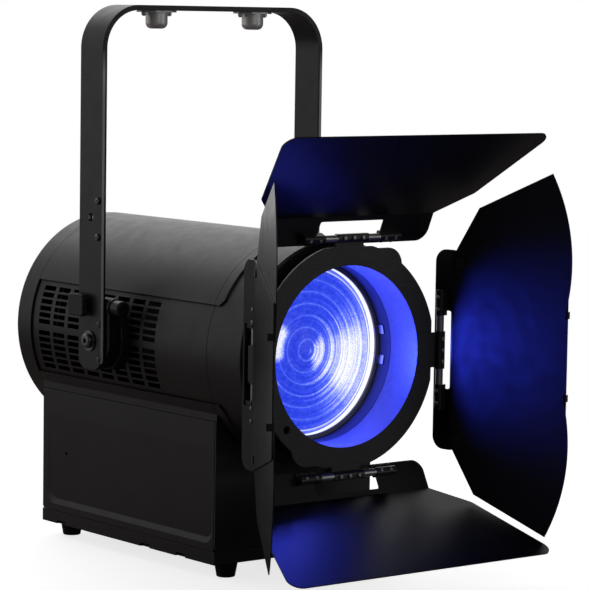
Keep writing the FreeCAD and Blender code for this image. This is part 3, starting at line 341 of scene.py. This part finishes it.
# ---- materials of the CAD nodes ----
MATERIALS = {
    "housing_black": powder_coat("housing_black", (0.0135, 0.0125, 0.012), 0.42),
    "yoke_black": strip_with_painted_edge_light("yoke_black", (0.0125, 0.0122, 0.0125), 0.4),
    "door_black": powder_coat("door_black", (0.004, 0.004, 0.0042), 0.34, depth=0.00001, edge=0.0,
                              specular=0.42),
    "ring_black": turning_ring("ring_black"),
    "tube_black": powder_coat("tube_black", (0.05, 0.05, 0.051), 0.7, grain=800.0, depth=0.00025,
                              specular=0.05),
    "fitting_black": powder_coat("fitting_black", (0.009, 0.009, 0.0095), 0.36),
    "black_steel": machined_metal("black_steel", (0.16, 0.16, 0.165), 0.26),
    "bright_steel": machined_metal("bright_steel", (0.95, 0.93, 0.92), 0.4, metallic=0.55),
    "dull_steel": machined_metal("dull_steel", (0.42, 0.42, 0.43), 0.3),
    "black_aluminium": machined_metal("black_aluminium", (0.02, 0.02, 0.021), 0.5),
    "sheet_aluminium": machined_metal("sheet_aluminium", (0.55, 0.55, 0.56), 0.35),
    "reflector": machined_metal("reflector", (0.82, 0.82, 0.84), 0.12),
    "filter_foam": moulded_plastic("filter_foam", (0.006, 0.006, 0.006), 0.9, grain=420.0, depth=0.0012),
    "rubber": moulded_rubber("rubber"),
    "black_plastic": moulded_plastic("black_plastic", (0.010, 0.010, 0.0105), 0.48),
    "display_plastic": display_window("display_plastic"),
    "led_board": lit_board("led_board"),
    "lens_glass": lit_lens("lens_glass"),
}

# Nodes that look different from the rest of their material slot.
NODE_MATERIALS = {
    "clamp_bolts": powder_coat("cap_black", (0.004, 0.004, 0.0042), 0.42),
    "clamp_blocks": powder_coat("block_black", (0.005, 0.005, 0.0052), 0.4),
    "lens_ring": powder_coat("lens_ring_grey", (0.25, 0.25, 0.252), 0.5),
}

for part in frame["record"]["subparts"]:
    slots = nodes[part["node"]].data.materials
    slots.clear()
    slots.append(NODE_MATERIALS.get(part["node"], MATERIALS[part["material_slot"]]))


# ---- screws that the drawing leaves plain ----
def socket_screws(name, body, places, head, material):
    """Pan heads with a hexagon socket, at each (point, normal), as one piece on a body."""
    radius, height = head
    mesh = bmesh.new()
    for point, normal in places:
        turn = Vector((0, 0, 1)).rotation_difference(normal)
        rings = []
        for across, up in SCREW_PROFILE:
            rings.append([(across, k, up) for k in range(SCREW_SEGMENTS)])
        for up in (1.0, SOCKET_FLOOR):
            rings.append([(SOCKET_WIDTH / math.cos((k % 4 - 2) * math.pi / 12), k, up)
                          for k in range(SCREW_SEGMENTS)])
        made = []
        for circle in rings:
            row = []
            for across, k, up in circle:
                angle = 2 * math.pi * k / SCREW_SEGMENTS
                out = across * radius
                local = Vector((out * math.cos(angle), out * math.sin(angle), up * height))
                row.append(mesh.verts.new(point + turn @ local))
            made.append(row)
        for low, high in zip(made, made[1:]):
            for k in range(SCREW_SEGMENTS):
                after = (k + 1) % SCREW_SEGMENTS
                mesh.faces.new((low[k], low[after], high[after], high[k]))
        mesh.faces.new(made[-1])
        mesh.faces.new(list(reversed(made[0])))
    data = bpy.data.meshes.new(name)
    mesh.to_mesh(data)
    mesh.free()
    for face in data.polygons:
        face.use_smooth = len(face.vertices) == 4
    data.materials.append(MATERIALS[material])
    piece = bpy.data.objects.new(name, data)
    scene.collection.objects.link(piece)
    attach(piece, body)


def hinge_frame(joint):
    """A door hinge's point, its axis, and the directions outward and forward."""
    point = Vector(joint["pos_m"])
    outward = Vector((point.x, 0, point.z - AXIS_HEIGHT)).normalized()
    return point, Vector(joint["axis"]), outward, Vector((0, -1, 0))


def add_door_screws():
    under_flange = 0.0044      # from the hinge axis to the flange's lower face
    over_bracket = 0.00775     # from the hinge axis to the bracket's upper face
    bracket_middle = 0.0085    # from the hinge axis, along the flange
    block_out = 0.0004
    block_front = 0.0057       # from the hinge axis to the block's front face
    joints = {joint["name"]: joint for joint in frame["joints"]}
    block_places = []
    for door, degrees in FLANGE_ANGLES.items():
        point, axis, outward, forward = hinge_frame(joints["door_" + door + "_hinge"])
        lean = math.radians(degrees)
        along = outward * math.sin(lean) + forward * math.cos(lean)
        normal = outward * math.cos(lean) - forward * math.sin(lean)
        places = []
        for side in (-1, 1):
            for reach in DOOR_SCREW_REACH:
                seat = point + axis * (side * reach)
                places.append((seat - normal * under_flange, -normal))
                if door in ("left", "right"):
                    places.append((seat + normal * over_bracket + along * bracket_middle, normal))
        socket_screws("door_" + door + "_screws", "door_" + door, places, DOOR_SCREW, "dull_steel")
        for offset in BLOCK_SCREW_REACH:
            block_places.append((point + axis * offset + outward * block_out + forward * block_front, forward))
    socket_screws("hinge_block_screws", "door_ring", block_places, BLOCK_SCREW, "dull_steel")


add_door_screws()


# ---- floor, light and camera ----
def new_object(name, data):
    made = bpy.data.objects.new(name, data)
    scene.collection.objects.link(made)
    return made


def add_floor():
    """A pale floor that looks white and reflects a little warm light on the lamp."""
    half = FLOOR_HALF
    mesh = bpy.data.meshes.new("floor")
    corners = [(-half, -half, 0), (half, -half, 0), (half, half, 0), (-half, half, 0)]
    mesh.from_pydata(corners, [], [(0, 1, 2, 3)])
    floor = new_object("floor", mesh)
    s = Shader("floor")
    s.link(s.ramp(s.noise(3.0), [(0.3, 0.86), (0.7, 0.88)]), s.bsdf.inputs["Base Color"])
    s.link(s.ramp(s.noise(2.0), [(0.3, (0.97, 0.97, 0.97)), (0.7, (1.0, 1.0, 1.0))]),
           s.bsdf.inputs["Emission Color"])
    s.set(Roughness=0.9, Specular_IOR_Level=0.1, Emission_Strength=0.78)
    dim = s.add("ShaderNodeBsdfDiffuse")    # what the lamp sees of the floor
    dim.inputs["Color"].default_value = (0.28, 0.25, 0.24, 1)
    mix = s.add("ShaderNodeMixShader")
    s.link(s.add("ShaderNodeLightPath").outputs["Is Camera Ray"], mix.inputs["Fac"])
    s.link(dim.outputs[0], mix.inputs[1])
    s.link(s.bsdf.outputs[0], mix.inputs[2])
    s.link(mix.outputs[0], s.tree.nodes["Material Output"].inputs["Surface"])
    mesh.materials.append(s.material)


def add_area(name, place, aim, size, power, colour=(1, 1, 1)):
    """A soft box at place that faces the point aim."""
    light = bpy.data.lights.new(name, "AREA")
    light.shape = "RECTANGLE"
    light.size, light.size_y = size
    light.energy = power
    light.color = colour
    made = new_object(name, light)
    made.location = place
    made.rotation_mode = "QUATERNION"
    made.rotation_quaternion = (Vector(aim) - Vector(place)).to_track_quat("-Z", "Y")
    made.visible_camera = False


def add_glow(name, offset, aim, size, spread, power):
    """Part of the lamp's blue light: a disc just in front of the lens, turned in the direction aim."""
    clearance = 0.004
    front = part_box("fresnel_lens")[0]
    light = bpy.data.lights.new(name, "AREA")
    light.shape = "DISK"
    light.size = size
    light.spread = math.radians(spread)
    light.energy = power
    light.color = BEAM_BLUE
    made = new_object(name, light)
    made.location = (offset[0], front.y - clearance, AXIS_HEIGHT + offset[1])
    made.rotation_mode = "QUATERNION"
    made.rotation_quaternion = Vector(aim).to_track_quat("-Z", "Y")
    made.visible_camera = False


def add_world():
    """A white studio: bright behind and above the lamp, dim on the camera's side."""
    world = bpy.data.worlds.new("studio")
    scene.world = world
    world.use_nodes = True
    tree = world.node_tree
    background = tree.nodes["Background"]
    background.inputs["Color"].default_value = (1, 1, 1, 1)
    place = tree.nodes.new("ShaderNodeTexCoord")
    facing = tree.nodes.new("ShaderNodeVectorMath")
    facing.operation = "DOT_PRODUCT"
    facing.inputs[1].default_value = (0.4, 0.85, 0.35)
    ramp = tree.nodes.new("ShaderNodeMapRange")
    ramp.interpolation_type = "SMOOTHSTEP"
    ramp.inputs["From Min"].default_value = 0.74
    ramp.inputs["From Max"].default_value = 0.95
    ramp.inputs["To Min"].default_value = 0.06
    ramp.inputs["To Max"].default_value = 1.5
    path = tree.nodes.new("ShaderNodeLightPath")
    strength = tree.nodes.new("ShaderNodeMix")
    strength.inputs["B"].default_value = 1.0
    tree.links.new(place.outputs["Generated"], facing.inputs[0])
    tree.links.new(facing.outputs["Value"], ramp.inputs["Value"])
    tree.links.new(ramp.outputs["Result"], strength.inputs["A"])
    tree.links.new(path.outputs["Is Camera Ray"], strength.inputs["Factor"])
    tree.links.new(strength.outputs["Result"], background.inputs["Strength"])


def add_camera():
    """The camera at the photograph's viewing angle."""
    azimuth, elevation, roll = (math.radians(angle) for angle in CAMERA_ANGLES)
    back = Vector((math.sin(azimuth) * math.cos(elevation), -math.cos(azimuth) * math.cos(elevation),
                   math.sin(elevation)))
    right = Vector((math.cos(azimuth), math.sin(azimuth), 0))
    up = back.cross(right)
    rolled_right = right * math.cos(roll) + up * math.sin(roll)
    rolled_up = up * math.cos(roll) - right * math.sin(roll)
    data = bpy.data.cameras.new("camera")
    data.lens = CAMERA_LENS
    data.sensor_width = 36.0
    data.clip_start = 0.1
    camera = new_object("camera", data)
    rotation = Matrix((rolled_right, rolled_up, back)).transposed().to_4x4()
    camera.matrix_world = Matrix.Translation(CAMERA_PLACE) @ rotation
    scene.camera = camera


add_floor()
add_world()
add_camera()
add_area("top_softbox", (-0.3, 1.4, 2.2), (0, 0, 0.3), (2.2, 1.4), 5.0, (1.0, 0.90, 0.93))
add_area("front_fill", (-0.4, -3.2, 1.6), (0, 0, 0.3), (1.6, 1.6), 8.0)
add_area("right_softbox", (2.1, -2.6, 0.7), (0, 0, 0.3), (1.0, 1.6), 4.5)
add_area("side_softbox", (-1.9, 1.7, 0.9), (0, 0, 0.25), (2.4, 2.0), 8.0, (1.0, 0.96, 0.95))
add_glow("beam_glow", (0, 0), (0, -1, 0), 2 * (LENS_RADIUS - 0.008), 180, 1.3)
add_glow("door_glow", (-0.045, 0), (0.86, -0.5, 0), 0.05, 50, 1.3)
scene.view_settings.view_transform = "Standard"
